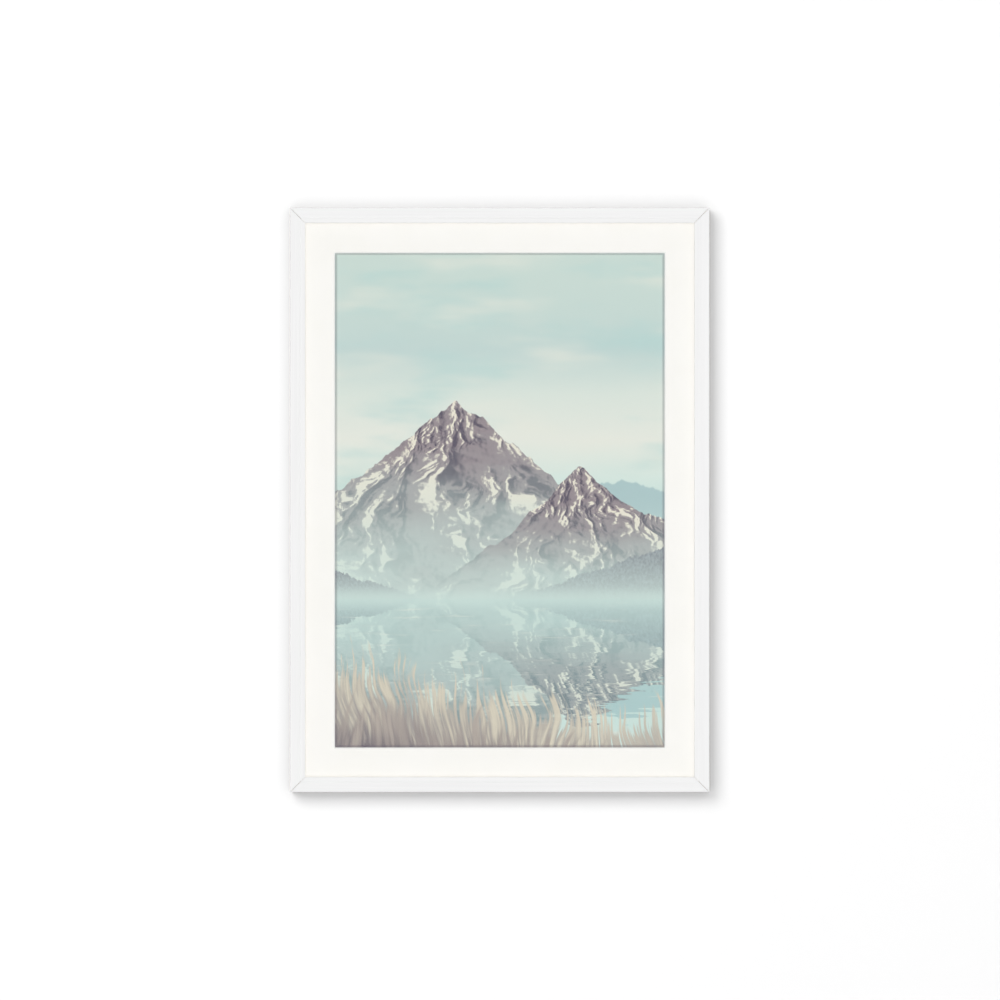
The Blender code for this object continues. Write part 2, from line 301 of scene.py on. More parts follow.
def noise(tree, place, scale, detail=3.0, roughness=0.5, distortion=0.0):
    inputs = {
        "Vector": place, "Scale": scale, "Detail": detail, "Roughness": roughness, "Distortion": distortion}
    return addNode(tree, "TexNoise", inputs).outputs[0]


def grain(tree, place, scale, detail, roughness=0.5, distortion=0.0, turn=(0, 0, 0)):
    # noise drawn out by a scale for each axis
    return noise(tree, stretched(tree, place, scale, turn), 1.0, detail, roughness, distortion)


def lineNoise(tree, along, scale, detail=4.0, roughness=0.5):
    # noise along one direction only
    inputs = {"W": along, "Scale": scale, "Detail": detail, "Roughness": roughness}
    return addNode(tree, "TexNoise", inputs, noise_dimensions="1D").outputs[0]


def fade(tree, value, start, end, low=0.0, high=1.0):
    inputs = {"Value": value, "From Min": start, "From Max": end, "To Min": low, "To Max": high}
    return addNode(tree, "MapRange", inputs, interpolation_type="SMOOTHSTEP").outputs[0]


def mixColours(tree, share, first, second, blend="MIX"):
    node = tree.nodes.new("ShaderNodeMix")
    node.data_type = "RGBA"
    node.blend_type = blend
    for spot, value in ((0, share), (6, first), (7, second)):
        setSocket(tree, node.inputs[spot], value)
    return node.outputs[2]


def colourRamp(tree, value, stops):
    node = tree.nodes.new("ShaderNodeValToRGB")
    setSocket(tree, node.inputs[0], value)
    marks = node.color_ramp.elements
    while len(marks) < len(stops):
        marks.new(0.5)
    for mark, (place, colour) in zip(marks, stops):
        mark.position = place
        mark.color = colour
    return node.outputs[0]


def bumps(tree, height, distance, under=None, strength=1.0):
    inputs = {"Height": height, "Distance": distance, "Strength": strength}
    if under is not None:
        inputs["Normal"] = under
    return addNode(tree, "Bump", inputs).outputs[0]


def finishSurface(tree, colour, roughness, relief=None, **others):
    inputs = {"Base Color": colour, "Roughness": roughness, **others}
    if relief is not None:
        inputs["Normal"] = relief
    shader = addNode(tree, "BsdfPrincipled", inputs)
    addNode(tree, "OutputMaterial", {"Surface": shader.outputs[0]})


# Satin white paint, with the grain of the wood and the brush showing faintly along each stick

paint = {
    "bright": screenColour(240, 240, 240),
    "dull": screenColour(236, 236, 236),
    "thin": screenColour(226, 220, 208),  # where the wood shows through at the rear arris
    "strokeLength": 5.0,  # pattern scales: the higher, the finer
    "strokeFineness": 330.0,
    "streakLength": 3.0,
    "streakFineness": 60.0,
    "patchFineness": 26.0,
    "peelFineness": 1500.0,
    "wearFineness": 210.0,
    "wearDepth": 0.0010,  # how unevenly the paint runs out at the rear
    "gloss": 0.36,
    "dullness": 0.50,
    "strokeDepth": 0.00002,
    "peelDepth": 0.00001,
}


def grainScale(axis, along, across):
    return tuple(along if letter == axis else across for letter in "XYZ")


def makeWhitePaint(axis):
    p = paint
    material, tree = newMaterial("whitePaintAlong" + axis)
    place = objectPlace(tree)
    strokes = grain(tree, place, grainScale(axis, p["strokeLength"], p["strokeFineness"]), 5.0, 0.6)
    streaks = grain(tree, place, grainScale(axis, p["streakLength"], p["streakFineness"]), 3.0)
    patches = noise(tree, place, p["patchFineness"], 3.0)
    peel = noise(tree, place, p["peelFineness"], 2.0)
    tone = shareOf(tree, strokes, streaks, 0.6)
    colour = mixColours(tree, fade(tree, tone, 0.36, 0.62), p["dull"], p["bright"])
    # the paint runs out unevenly round the rear arris
    depth = addNode(tree, "SeparateXYZ", {"Vector": place}).outputs["Y"]
    wear = times(tree, noise(tree, place, p["wearFineness"], 4.0, 0.6), p["wearDepth"])
    worn = fade(tree, plus(tree, depth, wear), -0.0029, -0.0023, 0.0, 0.8)
    colour = mixColours(tree, worn, colour, p["thin"])
    roughness = fade(tree, shareOf(tree, patches, strokes, 0.6), 0.35, 0.65, p["gloss"], p["dullness"])
    relief = bumps(tree, strokes, p["strokeDepth"], bumps(tree, peel, p["peelDepth"]))
    finishSurface(tree, colour, roughness, relief)
    return material


# Bare wood of the stick's rear, rebate and mitre cuts

bareWood = {
    "early": screenColour(222, 196, 156),
    "late": screenColour(193, 156, 110),
    "pore": screenColour(150, 112, 74),
    "overspray": screenColour(235, 234, 230),
    "driftLength": 1.4,  # pattern scales: the higher, the finer
    "driftFineness": 30.0,
    "ringLength": 2.2,
    "ringFineness": 190.0,
    "poreLength": 45.0,
    "poreFineness": 1900.0,
    "oversprayFineness": 240.0,
    "oversprayReach": 0.0022,
    "grainDepth": 0.00010,
}


def makeBareWood(axis):
    w = bareWood
    material, tree = newMaterial("bareWoodAlong" + axis)
    place = objectPlace(tree)
    drift = grain(tree, place, grainScale(axis, w["driftLength"], w["driftFineness"]), 2.0)
    rings = grain(tree, place, grainScale(axis, w["ringLength"], w["ringFineness"]), 4.0, 0.55, 0.6)
    pores = grain(tree, place, grainScale(axis, w["poreLength"], w["poreFineness"]), 3.0, 0.6)
    tone = shareOf(tree, rings, drift, 0.65)
    colour = mixColours(tree, fade(tree, tone, 0.40, 0.62), w["early"], w["late"])
    colour = mixColours(tree, fade(tree, pores, 0.60, 0.74, 0.0, 0.55), colour, w["pore"])
    # a little white paint has crept over the outer edge
    aside, away = fromCentre(tree, place)
    fromSide, fromEnd = minus(tree, cadHigh.x, aside), minus(tree, cadHigh.z - middle.z, away)
    creep = times(tree, noise(tree, place, w["oversprayFineness"], 5.0, 0.65), -w["oversprayReach"])
    inwards = plus(tree, sums(tree, "MINIMUM", fromSide, fromEnd), creep)
    sprayed = fade(tree, inwards, -0.0002, 0.0004, 0.85, 0.0)
    colour = mixColours(tree, sprayed, colour, w["overspray"])
    relief = bumps(tree, plus(tree, rings, pores), w["grainDepth"])
    roughness = fade(tree, pores, 0.3, 0.7, 0.62, 0.82)
    finishSurface(tree, colour, roughness, relief)
    return material


# The four mitred sticks of moulding

moulding = {
    "rearWidth": 0.012,
    "faceWidth": 0.018,
    "lipThickness": 0.0055,
    "crownRise": 0.0004,
    "crownRows": 9,
    "outerArris": 0.0004,
    "sightArris": 0.00025,
    "rearArris": 0.0004,
    "innerArris": 0.00025,
    "arrisSegments": 5,
    "jointGap": 0.0003,
    "jointEase": 0.00016,
    "jointEaseDepth": 0.0012,  # how far back from the face the cut edges are eased
    "spareLength": 0.004,
    "lengthCuts": 84,
    "waveHeight": 0.00002,
    "waveSize": 0.045,
}


def cutJoint(end, reach, outerEdge):
    # one 45 degree cut across the end of a stick that lies along the bottom
    slicePiece((end * reach, 0, outerEdge), (end, 0, 1), clear_outer=True, use_fill=True)


def modelStick(name, length, outerEdge):
    m = moulding
    front = cadLow.y + m["crownRise"]
    shelf = cadLow.y + m["lipThickness"]
    half = length / 2 + m["spareLength"]
    stick = addBlock(name, (-half, front, outerEdge), (half, woodRear, outerEdge + m["rearWidth"]))
    startEdit(stick)
    slicePiece((0, shelf, 0), (0, 1, 0))
    pick(stick, "FACE", lambda p, n: n.z > 0.9 and p.y < shelf)
    pull(0, 0, m["faceWidth"] - m["rearWidth"])  # the lip that holds the glass
    inner = outerEdge + m["rearWidth"]
    sight = outerEdge + m["faceWidth"]
    arrises = (
        (front, outerEdge, m["outerArris"]),
        (front, sight, m["sightArris"]),
        (shelf, sight, m["innerArris"]),
        (woodRear, outerEdge, m["rearArris"]),
        (woodRear, inner, m["innerArris"]),
    )
    for y, z, radius in arrises:
        pick(stick, "EDGE", lambda p, d: abs(d.x) > 0.1 and near(p.y, y) and near(p.z, z))
        roundOff(radius, m["arrisSegments"])
    # the face is gently crowned between its two arrises
    low, high = outerEdge + m["outerArris"], sight - m["sightArris"]
    for row in range(1, m["crownRows"] + 1):
        share = row / (m["crownRows"] + 1)
        z = low + (high - low) * share
        slicePiece((0, 0, z), (0, 0, 1))
        pick(stick, "VERT", lambda p, n: near(p.y, front) and near(p.z, z))
        slide(0, -m["crownRise"] * (1 - (2 * share - 1) ** 2), 0)
    reach = length / 2 - m["jointGap"] / 2 * math.sqrt(2)
    for end in (-1, 1):
        cutJoint(end, reach, outerEdge)
    # the cut edges are eased, so that the joint reads as a fine line
    pick(stick, "EDGE", lambda p, d: near(abs(p.x) + p.z - outerEdge, reach) and abs(d.x) < 0.1
         and near(abs(d.x), abs(d.z), 0.00001) and p.y < front + m["jointEaseDepth"])
    roundOff(m["jointEase"], 2)
    # long edges are divided, so that the waves can bend them
    pick(stick, "EDGE", lambda p, d: abs(d.x) > 0.3)
    bpy.ops.mesh.subdivide(number_cuts=m["lengthCuts"])
    endEdit()
    addWaves(stick, m["waveHeight"], m["waveSize"])
    return stick


def assignBareFaces(stick):
    # the second material goes on all that the paint doesn't reach: rear, rebate, slots and cuts
    startEdit(stick)
    shelf = cadLow.y + moulding["lipThickness"]

    def bare(p, n):
        fromSide = min(cadHigh.x - abs(p.x), cadHigh.z - middle.z - abs(p.z - middle.z))
        behind = p.y > shelf - 0.0001 and fromSide > moulding["rearArris"]
        onCut = near(abs(n.x), abs(n.z), 0.05) and abs(n.y) < 0.2
        return behind or onCut

    coverFaces(stick, bare)
    endEdit()


# V-nails: bent strips driven across each mitre from behind

vNail = {
    "thickness": 0.0006,
    "slotRoom": 0.0001,
    "edgeRound": 0.0001,
}


def modelVNail(name, node, room, rearY):
    # two legs run outwards from an apex on the joint
    low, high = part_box(node)
    grow = Vector((room, 0, room))
    low, high = low - grow, high + grow
    thick = vNail["thickness"] + 2 * room
    outX = 1 if low.x > 0 else -1
    outZ = 1 if low.z > middle.z else -1
    apexX = low.x if outX > 0 else high.x
    apexZ = low.z if outZ > 0 else high.z
    turned = Vector((apexX + outX * thick, 0, apexZ + outZ * thick))
    bend = addBlock(name, (min(apexX, turned.x), low.y, min(apexZ, turned.z)),
                    (max(apexX, turned.x), rearY, max(apexZ, turned.z)))
    startEdit(bend)
    pick(bend, "FACE", lambda p, n: n.x * outX > 0.9)
    pull(outX * (high.x - low.x - thick), 0, 0)
    pick(bend, "FACE", lambda p, n: n.z * outZ > 0.9 and abs(p.x - apexX) < thick)
    pull(0, 0, outZ * (high.z - low.z - thick))
    endEdit()
    return bend


def cutSlots(stick):
    # a slot at each end lets the V-nail in
    for node in vNailNodes:
        spans = zip(stick.bound_box[0], stick.bound_box[6], *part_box(node))
        if all(low <= nailHigh and nailLow <= high for low, high, nailLow, nailHigh in spans):
            cutter = modelVNail("slotCutter", node, vNail["slotRoom"], woodRear + 0.001)
            carve = stick.modifiers.new("carve", "BOOLEAN")
            carve.operation = "DIFFERENCE"
            carve.solver = "EXACT"
            carve.object = cutter
            applyAll(stick)
            bpy.data.objects.remove(cutter)


width, height = cadHigh.x - cadLow.x, cadHigh.z - cadLow.z
bottomRail = modelStick("bottomRail", width, middle.z - height / 2)
topRail = copyOf(bottomRail, "topRail")
turnPiece(topRail, 2, middle)
leftStile = modelStick("leftStile", height, middle.z - width / 2)
turnPiece(leftStile, 1, middle)
rightStile = copyOf(leftStile, "rightStile")
turnPiece(rightStile, 2, middle)
finishes = {axis: (makeWhitePaint(axis), makeBareWood(axis)) for axis in "XZ"}
vNailNodes = [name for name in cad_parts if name.startswith("v_nail")]
sticks = {"rail_bottom": bottomRail, "rail_top": topRail, "stile_left": leftStile, "stile_right": rightStile}
for node, stick in sticks.items():
    dress(stick, *finishes["X" if node.startswith("rail") else "Z"])
    cutSlots(stick)
    assignBareFaces(stick)
for node, stick in sticks.items():
    finishPiece(stick, [node])
print("moulding done")


# Mat: warm white card, its window cut at 45 degrees through a whiter core

mat = {
    "face": screenColour(248, 246, 242),
    "faceShade": screenColour(246, 244, 239),
    "core": screenColour(253, 253, 251),
    "toothFineness": 1800.0,
    "toothDepth": 0.000012,
    "mottleFineness": 22.0,
    "layerFineness": 5200.0,  # the core's layers, seen on the cut
    "layerDepth": 0.00001,
    "windowFront": 0.0398,  # from the card's edge to the window, at the front
    "windowRear": 0.0413,
    "edgeSoftness": 0.00008,
}


def makeMatCard():
    material, tree = newMaterial("matCard")
    place = objectPlace(tree)
    tooth = noise(tree, place, mat["toothFineness"], 4.0, 0.6)
    mottle = noise(tree, place, mat["mottleFineness"], 3.0)
    colour = mixColours(tree, fade(tree, mottle, 0.35, 0.65, 0.0, 0.6), mat["face"], mat["faceShade"])
    roughness = fade(tree, tooth, 0.3, 0.7, 0.78, 0.9)
    relief = bumps(tree, tooth, mat["toothDepth"])
    finishSurface(tree, colour, roughness, relief)
    return material


def makeMatCore():
    material, tree = newMaterial("matCore")
    place = objectPlace(tree)
    layers = grain(tree, place, (60, mat["layerFineness"], 60), 2.0)
    colour = mixColours(tree, fade(tree, layers, 0.4, 0.7, 0.0, 0.5), mat["core"], mat["face"])
    relief = bumps(tree, layers, mat["layerDepth"])
    finishSurface(tree, colour, 0.85, relief)
    return material


def modelMat():
    low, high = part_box("mat")
    card = addBlock("bevelCutMat", low, high)
    dress(card, makeMatCard(), makeMatCore())
    startEdit(card)
    for side, margin in ((-1, mat["windowFront"]), (1, mat["windowRear"])):
        pick(card, "FACE", lambda p, n: n.y * side > 0.9)
        bpy.ops.mesh.inset(thickness=margin, depth=0)
    centreZ = (low.z + high.z) / 2
    pick(card, "FACE", lambda p, n: abs(n.y) > 0.9 and near(p.x, 0, 0.01) and near(p.z, centreZ, 0.01))
    bpy.ops.mesh.bridge_edge_loops()
    coverFaces(card, lambda p, n: abs(n.y) < 0.9)
    endEdit()
    softenEdges(card, mat["edgeSoftness"], 2)
    return card


finishPiece(modelMat(), ["mat"])
print("mat done")


# Clear sheet with ground edges

glazing = {
    "tint": (0.994, 0.996, 0.995, 1),
    "edgeGrind": 0.0003,
    "gloss": 0.0,
    "smudge": 0.05,
    "wipeScale": (5, 5, 16),
    "wipeLean": 0.5,
}


def makeGlazing():
    material, tree = newMaterial("clearGlazing")
    place = objectPlace(tree)
    wipes = grain(tree, place, glazing["wipeScale"], 4.0, 0.55, 0.8, turn=(0, glazing["wipeLean"], 0))
    glass = addNode(tree, "BsdfPrincipled", {
        "Base Color": glazing["tint"], "IOR": 1.49, "Transmission Weight": 1.0,
        "Roughness": fade(tree, wipes, 0.45, 0.75, glazing["gloss"], glazing["smudge"])})
    clear = addNode(tree, "BsdfTransparent", {"Color": glazing["tint"]})
    rays = addNode(tree, "LightPath", {}).outputs
    passing = sums(tree, "MAXIMUM", rays["Is Shadow Ray"], rays["Is Diffuse Ray"])
    lampsPass = addNode(tree, "MixShader", {0: passing, 1: glass.outputs[0], 2: clear.outputs[0]})
    addNode(tree, "OutputMaterial", {"Surface": lampsPass.outputs[0]})
    return material


clearSheet = roundedSheet("clearSheet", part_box("glazing"), glazing["edgeGrind"])
dress(clearSheet, makeGlazing())
finishPiece(clearSheet, ["glazing"])
print("glazing done")


# Printed sheet: a misty lake below mountains, with grasses out of focus on the near bank

printing = {
    "unit": 0.2,  # half the picture's width, in which all of the layout below is given, from its centre
    "windowHalfWidth": 0.2,
    "windowHalfHeight": 0.3,
    "margin": 0.002,  # how far the ink runs on under the mat
    "grain": 0.02,
    "inkGain": (0.97, 0.955, 0.955, 1),
    "paintedRimWidth": 0.0036,  # painted shade: the print is darkened along the mat's window, standing in for the shadow the mat casts on its edge
    "paintedRimCore": 0.0014,
    "paintedRimShade": 0.43,
    "sheetCuts": 24,
    "waveHeight": 0.0001,
    "waveSize": 0.12,
    "paper": screenColour(244, 243, 238),
    "cream": screenColour(230, 233, 221),
    "haze": screenColour(203, 226, 219),
    "aqua": screenColour(168, 210, 207),
    "farRidge": screenColour(166, 196, 197),
    "shade": screenColour(70, 61, 82),
    "cliff": screenColour(142, 132, 137),
    "snow": screenColour(232, 228, 211),
    "forest": screenColour(84, 78, 98),
    "forestPale": screenColour(138, 146, 156),
    "grass": screenColour(214, 207, 186),
    "grassShade": screenColour(132, 124, 128),
    "grassPale": screenColour(176, 166, 156),
    "waterline": -0.60,
    "skyBands": (  # from the far shore up
        (0.30, screenColour(172, 212, 209)),
        (0.44, screenColour(188, 220, 215)),
        (0.56, screenColour(210, 230, 222)),
        (0.68, screenColour(228, 233, 223)),
        (0.80, screenColour(216, 228, 219)),
        (0.90, screenColour(190, 213, 209)),
        (1.00, screenColour(199, 219, 211)),
    ),
    "mountains": (  # peak across, peak up, slope to the left, to the right, jaggedness, seed
        (-0.26, 0.62, 0.80, 0.86, 0.24, 1.7),
        (0.48, 0.16, 0.80, 0.52, 0.20, 5.2),
    ),
    "spurs": (  # peak across, peak up, slope to the left, to the right, least haze, seed
        (1.25, -0.20, 0.34, 0.1, 0.25, 3.1),
        (-1.35, -0.30, 0.1, 0.34, 0.0, 8.4),
    ),
    "grasses": (  # fineness, lean, length, bank's height, softness, dark colour, light colour, seed
        (46.0, 0.20, 0.46, -1.10, 0.035, "grassShade", "grass", 2.0),
        (30.0, -0.12, 0.36, -1.30, 0.055, "shade", "grassPale", 9.0),
    ),
}


def joined(tree, x, y, z=0.0):
    return addNode(tree, "CombineXYZ", {"X": x, "Y": y, "Z": z}).outputs[0]


def wedge(tree, across, peakAt, peakHeight, leftSlope, rightSlope):
    # a plain mountain outline, before noise roughens it
    offset = minus(tree, across, peakAt)
    left = times(tree, sums(tree, "MINIMUM", offset, 0.0), leftSlope)
    right = times(tree, sums(tree, "MAXIMUM", offset, 0.0), -rightSlope)
    return plus(tree, plus(tree, left, right), peakHeight)


def roughened(tree, line, across, scale, height, detail, roughness=0.55):
    return plus(tree, line, swing(tree, lineNoise(tree, across, scale, detail, roughness), height))


def below(tree, line, up, softness):
    return fade(tree, minus(tree, line, up), -softness, softness)


def ridges(tree, place, seed):
    # sharp crests with gullies between them
    inputs = {
        "Vector": place, "W": seed, "Scale": 2.3, "Detail": 7.0, "Roughness": 0.56, "Lacunarity": 2.1,
        "Offset": 0.9, "Gain": 1.6}
    kind = {"noise_dimensions": "4D", "noise_type": "RIDGED_MULTIFRACTAL", "normalize": False}
    return addNode(tree, "TexNoise", inputs, **kind).outputs[0]


def mountainSlope(tree, across, up, peakAt, peakHeight, seed):
    # crests fan out below the peak; the difference between two readings shades them from the left
    drop = sums(tree, "MAXIMUM", minus(tree, peakHeight + 0.35, up), 0.05)
    wander = noise(tree, joined(tree, across, up, seed), 2.6, 3.0, 0.5)
    fan = plus(tree, sums(tree, "DIVIDE", minus(tree, across, peakAt), drop), swing(tree, wander, 0.55))
    down = times(tree, sums(tree, "LOGARITHM", drop, 2.718), 0.75)
    here = ridges(tree, joined(tree, fan, down, seed), seed)
    beside = ridges(tree, joined(tree, plus(tree, fan, 0.022), down, seed), seed)
    return minus(tree, beside, here)


def mountainFace(tree, across, up, peakAt, peakHeight, seed):
    p = printing
    slope = mountainSlope(tree, across, up, peakAt, peakHeight, seed)
    grit = noise(tree, joined(tree, times(tree, across, 1.6), up, seed), 26.0, 6.0, 0.65)
    tilted = plus(tree, times(tree, up, 3.0), times(tree, across, 0.9))
    beds = noise(tree, joined(tree, times(tree, across, 0.5), tilted, seed), 9.0, 5.0, 0.6)
    tone = sums(tree, "MULTIPLY_ADD", slope, 1.5, 0.50)
    tone = sums(tree, "MULTIPLY_ADD", minus(tree, grit, 0.5), 0.55, tone)
    tone = sums(tree, "MULTIPLY_ADD", minus(tree, beds, 0.5), 0.50, tone)
    stops = ((0.26, p["shade"]), (0.47, p["cliff"]), (0.62, p["cliff"]), (0.76, p["snow"]))
    return colourRamp(tree, tone, stops)


def drawSky(tree, flat, up):
    p = printing
    sky = colourRamp(tree, fade(tree, up, -1.5, 1.5), p["skyBands"])
    pale = fade(tree, noise(tree, flat, 0.9, 3.5, 0.5), 0.46, 0.72, 0.0, 0.7)
    sky = mixColours(tree, pale, sky, p["cream"])
    elsewhere = stretched(tree, flat, (1, 1, 1), shift=(4.3, 2.7, 1.5))
    clear = fade(tree, noise(tree, elsewhere, 1.2, 3.5, 0.5), 0.50, 0.74, 0.0, 0.5)
    return mixColours(tree, clear, sky, p["aqua"])


def drawMountains(tree, scene, side, up, flat):
    p = printing
    far = roughened(tree, wedge(tree, side, 0.80, 0.12, 0.25, 0.30), side, 2.6, 0.26, 8.0)
    farColour = mixColours(tree, fade(tree, up, 0.05, -0.50), p["farRidge"], p["haze"])
    scene = mixColours(tree, below(tree, far, up, 0.008), scene, farColour)
    for peakAt, peakHeight, left, right, jag, seed in p["mountains"]:
        line = wedge(tree, side, peakAt, peakHeight, left, right)
        line = roughened(tree, line, plus(tree, side, seed), 2.4, jag, 9.0, 0.58)
        drift = swing(tree, noise(tree, flat, 1.3, 4.0, 0.55), 0.5)
        fog = sums(tree, "ADD", fade(tree, up, peakHeight - 0.20, -0.56, 0.0, 0.80), drift, clamp=True)
        cliff = mountainFace(tree, side, up, peakAt, peakHeight, seed)
        cliff = mixColours(tree, fog, cliff, p["haze"])
        scene = mixColours(tree, below(tree, line, up, 0.0035), scene, cliff)
    return scene


def drawSpurs(tree, scene, side, up):
    p = printing
    for peakAt, peakHeight, left, right, haze, seed in p["spurs"]:
        line = wedge(tree, side, peakAt, peakHeight, left, right)
        line = roughened(tree, line, plus(tree, side, seed), 3.0, 0.10, 6.0)
        spires = noise(tree, joined(tree, side, times(tree, up, 0.22), seed), 74.0, 3.0, 0.65)
        line = plus(tree, line, swing(tree, spires, 0.055))
        crowns = noise(tree, joined(tree, side, times(tree, up, 0.6), seed), 95.0, 4.0, 0.7)
        wood = mixColours(tree, fade(tree, crowns, 0.36, 0.66), p["forest"], p["forestPale"])
        wood = mixColours(tree, fade(tree, up, -0.28, -0.62, haze, 0.72), wood, p["haze"])
        scene = mixColours(tree, below(tree, line, up, 0.003), scene, wood)
    return scene


def drawGrasses(tree, scene, across, rawUp):
    # a pale layer of fine stalks, then a darker one in front, both out of focus
    p = printing
    for fineness, lean, length, level, softness, shadeName, lightName, seed in p["grasses"]:
        shade, light = p[shadeName], p[lightName]
        sway = times(tree, noise(tree, joined(tree, across, rawUp, seed), 1.7, 1.0), 0.34)
        bent = plus(tree, plus(tree, across, sway), times(tree, rawUp, lean))
        stalks = noise(tree, joined(tree, bent, times(tree, rawUp, 0.06), seed), fineness, 2.5, 0.55)
        clumps = noise(tree, joined(tree, across, times(tree, rawUp, 0.7), seed), 2.4, 2.0, 0.5)
        bank = wedge(tree, across, -1.05, level, 0.2, 0.16)
        bank = roughened(tree, bank, plus(tree, across, seed), 1.3, 0.34, 2.0)
        tips = sums(tree, "MULTIPLY_ADD", minus(tree, stalks, 0.44), length * 2.2, bank)
        grass = mixColours(tree, fade(tree, stalks, 0.36, 0.64), shade, light)
        grass = mixColours(tree, fade(tree, clumps, 0.40, 0.68, 0.0, 0.70), grass, shade)
        grass = mixColours(tree, fade(tree, minus(tree, bank, rawUp), 0.40, -0.16, 0.0, 0.60), grass, light)
        cover = fade(tree, minus(tree, tips, rawUp), -softness, softness * 2.2, 0.0, 0.94)
        scene = mixColours(tree, cover, scene, grass)
    return scene


def drawPicture(tree, place):
    p = printing
    parts = addNode(tree, "SeparateXYZ", {"Vector": place}).outputs
    across = sums(tree, "DIVIDE", parts["X"], p["unit"])
    rawUp = sums(tree, "DIVIDE", minus(tree, parts["Z"], middle.z), p["unit"])

    # below the waterline the scene is read upside down, drawn out by ripples
    depth = minus(tree, p["waterline"], rawUp)
    inWater = fade(tree, depth, -0.003, 0.003)
    lying = joined(tree, times(tree, across, 2.4), times(tree, rawUp, 40.0))
    ripple = minus(tree, noise(tree, lying, 1.0, 3.0, 0.6), 0.5)
    stir = times(tree, ripple, times(tree, sums(tree, "MAXIMUM", depth, 0.0), 0.40))
    up = plus(tree, plus(tree, sums(tree, "ABSOLUTE", depth), p["waterline"]), stir)
    side = plus(tree, across, times(tree, stir, 0.5))

    flat = joined(tree, side, times(tree, up, 3.6))
    scene = drawSky(tree, flat, up)
    scene = drawMountains(tree, scene, side, up, flat)
    scene = drawSpurs(tree, scene, side, up)

    # water: tinted, with pale glints lying flat, and mist along its far edge
    water = mixColours(tree, 0.30, scene, p["aqua"])
    water = mixColours(tree, fade(tree, ripple, 0.08, 0.24, 0.0, 0.40), water, p["cream"])
    scene = mixColours(tree, inWater, scene, water)
    mist = fade(tree, sums(tree, "ABSOLUTE", depth), 0.0, 0.09, 0.60, 0.0)
    scene = mixColours(tree, mist, scene, p["haze"])
    return drawGrasses(tree, scene, across, rawUp)


def makePrint():
    p = printing
    material, tree = newMaterial("printedPaper")
    place = objectPlace(tree)
    scene = drawPicture(tree, place)
    # the ink's fine grain, a painted shade along the mat's window standing in for the mat's shadow, and the
    # white edge of the paper under the mat
    speck = noise(tree, place, 2600.0, 1.0)
    scene = mixColours(tree, times(tree, speck, p["grain"]), scene, p["shade"])
    scene = mixColours(tree, 1.0, scene, p["inkGain"], "MULTIPLY")
    aside, away = fromCentre(tree, place)
    beyondX, beyondZ = minus(tree, aside, p["windowHalfWidth"]), minus(tree, away, p["windowHalfHeight"])
    beyond = sums(tree, "MAXIMUM", beyondX, beyondZ)
    # painted shade: the print darkens towards the mat's window, at full strength just inside it
    rim = fade(tree, beyond, -p["paintedRimWidth"], -p["paintedRimCore"], 0.0, p["paintedRimShade"])
    scene = mixColours(tree, rim, scene, p["shade"])
    bare = fade(tree, beyond, p["margin"] - 0.0001, p["margin"] + 0.0001)
    scene = mixColours(tree, bare, scene, p["paper"])
    fibres = noise(tree, place, 900.0, 4.0, 0.65)
    roughness = fade(tree, fibres, 0.3, 0.7, 0.55, 0.68)
    relief = bumps(tree, fibres, 0.000008)
    finishSurface(tree, scene, roughness, relief)
    return material


def makePaperBack():
    material, tree = newMaterial("paperBack")
    fibres = noise(tree, objectPlace(tree), 700.0, 5.0, 0.7)
    colour = mixColours(tree, fade(tree, fibres, 0.35, 0.65, 0.0, 0.5), printing["paper"], mat["faceShade"])
    finishSurface(tree, colour, 0.8, bumps(tree, fibres, 0.00001))
    return material


def modelPrint():
    sheet = addBlock("printedSheet", *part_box("print_sheet"))
    dress(sheet, makePrint(), makePaperBack())
    startEdit(sheet)
    pick(sheet, "EDGE", lambda p, d: abs(d.x) > 0.1 or abs(d.z) > 0.1)
    bpy.ops.mesh.subdivide(number_cuts=printing["sheetCuts"])
    coverFaces(sheet, lambda p, n: n.y > -0.9)
    endEdit()
    addWaves(sheet, printing["waveHeight"], printing["waveSize"])
    return sheet


finishPiece(modelPrint(), ["print_sheet"])
print("printed sheet done")


# Backing: brown pressed fibreboard

backing = {
    "dark": screenColour(112, 78, 50),
    "brown": screenColour(146, 106, 70),
    "pale": screenColour(186, 148, 104),
    "speck": screenColour(70, 46, 30),
    "cloudFineness": 9.0,
    "chipScale": (160, 160, 420),
    "threadScale": (520, 160, 150),
    "speckFineness": 620.0,
    "fibreDepth": 0.00006,
    "edgeRound": 0.0004,
}


def makeFibreboard():
    b = backing
    material, tree = newMaterial("pressedFibreboard")
    place = objectPlace(tree)
    clouds = noise(tree, place, b["cloudFineness"], 4.0, 0.6)
    chips = grain(tree, place, b["chipScale"], 5.0, 0.7, 1.5, turn=(0, 0.6, 0))
    threads = grain(tree, place, b["threadScale"], 5.0, 0.7, 1.2, turn=(0, -0.4, 0))
    specks = noise(tree, place, b["speckFineness"], 3.0, 0.7)
    tone = plus(tree, times(tree, chips, 0.5), times(tree, threads, 0.3))
    tone = plus(tree, tone, times(tree, clouds, 0.2))
    colour = colourRamp(tree, tone, ((0.36, b["dark"]), (0.50, b["brown"]), (0.66, b["pale"])))
    colour = mixColours(tree, fade(tree, specks, 0.66, 0.78, 0.0, 0.7), colour, b["speck"])
    roughness = fade(tree, tone, 0.4, 0.6, 0.62, 0.8)
    relief = bumps(tree, tone, b["fibreDepth"])
    finishSurface(tree, colour, roughness, relief)
    return material


board = roundedSheet("fibreBacking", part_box("backing_board"), backing["edgeRound"])
dress(board, makeFibreboard())
finishPiece(board, ["backing_board"])


# Mount board, a plain card between the print and the backing: its solid stays, with a card finish

mountCard = {
    "pale": screenColour(236, 232, 222),
    "grey": screenColour(224, 219, 207),
    "pulpFineness": 500.0,
    "pulpDepth": 0.00002,
}


